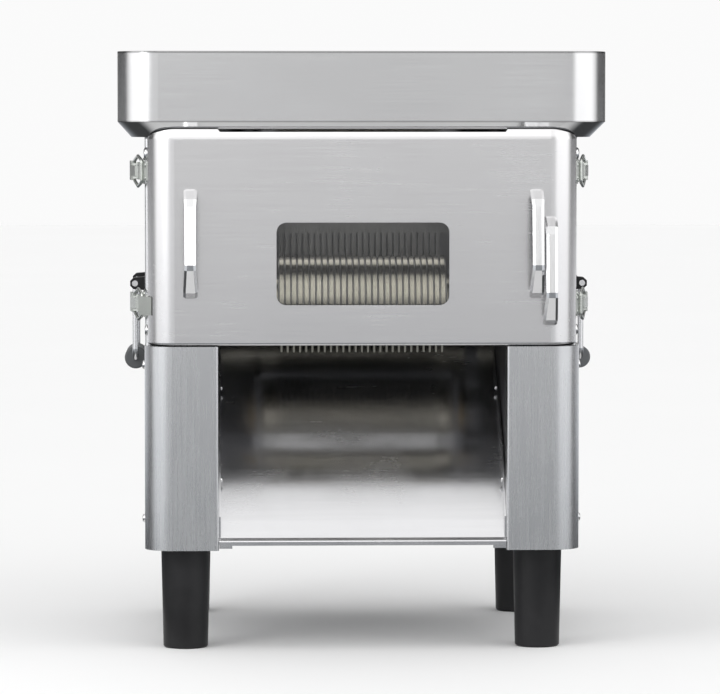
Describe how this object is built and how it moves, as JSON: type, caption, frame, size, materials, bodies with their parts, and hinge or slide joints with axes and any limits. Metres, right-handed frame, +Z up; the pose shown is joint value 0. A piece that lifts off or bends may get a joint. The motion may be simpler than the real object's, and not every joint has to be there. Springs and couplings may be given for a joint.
{
  "type": "electric slicer shredder",
  "caption": "Desk-top powered slicer shredder with feed tray, pull-out twin-shaft knife block, discharge chute, draw latches and carrying handles.",
  "frame": {"origin": "on the table, under the middle of the machine's box", "axes": "+X to the machine's right as seen from the front, +Y to the back, +Z up; the front cover faces -Y"},
  "size_m": [0.449, 0.396, 0.55],
  "materials": {
    "satin_steel": "satin brushed stainless sheet",
    "polished_steel": "polished stainless sheet",
    "machined_steel": "ground stainless",
    "gear_steel": "machined gear steel, oiled",
    "cast_iron": "cast and painted",
    "motor_aluminium": "painted cast aluminium",
    "belt_rubber": "ribbed rubber",
    "bush_bronze": "machined bronze",
    "clear_pane": "clear acrylic",
    "bright_steel": "bright stainless",
    "zinc_plate": "zinc plated",
    "grip_plastic": "moulded grip",
    "black_plastic": "moulded, fine grain",
    "green_plastic": "moulded",
    "red_plastic": "moulded"
  },
  "bodies": {
    "machine_body": {"left_side_panel": "satin_steel", "right_side_panel": "satin_steel", "left_bay_wall": "satin_steel", "right_bay_wall": "satin_steel", "bay_back_plate": "satin_steel", "chute": "polished_steel", "base_plate": "satin_steel", "rear_panel": "satin_steel", "top_deck": "satin_steel", "tray": "satin_steel", "feed_throat": "satin_steel", "legs": "black_plastic", "body_fasteners": "bright_steel", "motor_housing": "motor_aluminium", "drive_bearings": "cast_iron", "drive_belt": "belt_rubber", "guide_rails": "satin_steel", "latch_bases": "zinc_plate", "handle_brackets": "black_plastic", "switch_plate": "black_plastic", "cable_gland": "black_plastic"},
    "knife_block": {"front_cover": "satin_steel", "window_pane": "clear_pane", "cover_handle_left": "bright_steel", "cover_handle_right": "bright_steel", "cover_handle_right_lower": "bright_steel", "cover_fasteners": "bright_steel", "latch_catches": "zinc_plate", "knife_plates": "satin_steel", "tie_bars": "satin_steel", "front_comb": "machined_steel", "rear_comb": "machined_steel", "knife_bushes": "bush_bronze"},
    "front_knife": {"front_knife_shaft": "machined_steel", "front_blades": "machined_steel", "front_spacers": "machined_steel", "front_gear": "gear_steel"},
    "rear_knife": {"rear_knife_shaft": "machined_steel", "rear_blades": "machined_steel", "rear_spacers": "machined_steel", "rear_gear": "gear_steel"},
    "drive": {"drive_shaft": "machined_steel", "drive_gear": "gear_steel", "drive_pulley": "cast_iron"},
    "motor_rotor": {"motor_shaft": "machined_steel", "motor_pulley": "cast_iron"},
    "carry_left": {"carry_handle_left": "bright_steel", "grip_left": "grip_plastic"},
    "carry_right": {"carry_handle_right": "bright_steel", "grip_right": "grip_plastic"},
    "start": {"start_button": "green_plastic"},
    "stop": {"stop_button": "red_plastic"},
    "lever_left_upper": {"latch_lever_left_upper": "zinc_plate"},
    "loop_left_upper": {"latch_loop_left_upper": "zinc_plate"},
    "lever_right_upper": {"latch_lever_right_upper": "zinc_plate"},
    "loop_right_upper": {"latch_loop_right_upper": "zinc_plate"},
    "lever_left_lower": {"latch_lever_left_lower": "zinc_plate"},
    "loop_left_lower": {"latch_loop_left_lower": "zinc_plate"},
    "lever_right_lower": {"latch_lever_right_lower": "zinc_plate"},
    "loop_right_lower": {"latch_loop_right_lower": "zinc_plate"}
  },
  "joints": [
    {"name": "knife_block_slide", "type": "slide", "parent": "machine_body", "child": "knife_block", "axis": [0, -1, 0], "range_m": [0, 0.19]},
    {"name": "drive_spin", "type": "hinge", "parent": "machine_body", "child": "drive", "pos_m": [0, 0.02, 0.32], "axis": [1, 0, 0], "continuous": true},
    {"name": "front_knife_spin", "type": "hinge", "parent": "knife_block", "child": "front_knife", "pos_m": [0, -0.116, 0.32], "axis": [1, 0, 0], "continuous": true},
    {"name": "rear_knife_spin", "type": "hinge", "parent": "knife_block", "child": "rear_knife", "pos_m": [0, -0.042, 0.32], "axis": [1, 0, 0], "continuous": true},
    {"name": "motor_spin", "type": "hinge", "parent": "machine_body", "child": "motor_rotor", "pos_m": [0.1, 0.098, 0.168], "axis": [1, 0, 0], "continuous": true},
    {"name": "carry_left_fold", "type": "hinge", "parent": "machine_body", "child": "carry_left", "pos_m": [-0.2108, 0.009, 0.3335], "axis": [0, 1, 0], "range_deg": [0, 90]},
    {"name": "carry_right_fold", "type": "hinge", "parent": "machine_body", "child": "carry_right", "pos_m": [0.2108, 0.009, 0.3335], "axis": [0, -1, 0], "range_deg": [0, 90]},
    {"name": "start_press", "type": "slide", "parent": "machine_body", "child": "start", "axis": [-1, 0, 0], "range_m": [0, 0.0025], "stiffness_N_per_m": 400},
    {"name": "stop_press", "type": "slide", "parent": "machine_body", "child": "stop", "axis": [-1, 0, 0], "range_m": [0, 0.0025], "stiffness_N_per_m": 400},
    {"name": "lever_left_upper_open", "type": "hinge", "parent": "machine_body", "child": "lever_left_upper", "pos_m": [-0.207, -0.092, 0.44], "axis": [0, 0, 1], "range_deg": [0, 110]},
    {"name": "loop_left_upper_swing", "type": "hinge", "parent": "lever_left_upper", "child": "loop_left_upper", "pos_m": [-0.21, -0.082, 0.44], "axis": [0, 0, 1], "range_deg": [-110, 0]},
    {"name": "lever_right_upper_open", "type": "hinge", "parent": "machine_body", "child": "lever_right_upper", "pos_m": [0.207, -0.092, 0.44], "axis": [0, 0, -1], "range_deg": [0, 110]},
    {"name": "loop_right_upper_swing", "type": "hinge", "parent": "lever_right_upper", "child": "loop_right_upper", "pos_m": [0.21, -0.082, 0.44], "axis": [0, 0, -1], "range_deg": [-110, 0]},
    {"name": "lever_left_lower_open", "type": "hinge", "parent": "machine_body", "child": "lever_left_lower", "pos_m": [-0.207, -0.092, 0.317], "axis": [0, 0, 1], "range_deg": [0, 110]},
    {"name": "loop_left_lower_swing", "type": "hinge", "parent": "lever_left_lower", "child": "loop_left_lower", "pos_m": [-0.21, -0.082, 0.317], "axis": [0, 0, 1], "range_deg": [-110, 0]},
    {"name": "lever_right_lower_open", "type": "hinge", "parent": "machine_body", "child": "lever_right_lower", "pos_m": [0.207, -0.092, 0.317], "axis": [0, 0, -1], "range_deg": [0, 110]},
    {"name": "loop_right_lower_swing", "type": "hinge", "parent": "lever_right_lower", "child": "loop_right_lower", "pos_m": [0.21, -0.082, 0.317], "axis": [0, 0, -1], "range_deg": [-110, 0]}
  ],
  "couplings": [
    {"joint": "rear_knife_spin", "follows": "drive_spin", "ratio": -0.67568},
    {"joint": "front_knife_spin", "follows": "drive_spin", "ratio": 0.67568},
    {"joint": "motor_spin", "follows": "drive_spin", "ratio": 2.21},
    {"joint": "loop_left_upper_swing", "follows": "lever_left_upper_open", "ratio": -1},
    {"joint": "loop_right_upper_swing", "follows": "lever_right_upper_open", "ratio": -1},
    {"joint": "loop_left_lower_swing", "follows": "lever_left_lower_open", "ratio": -1},
    {"joint": "loop_right_lower_swing", "follows": "lever_right_lower_open", "ratio": -1}
  ]
}
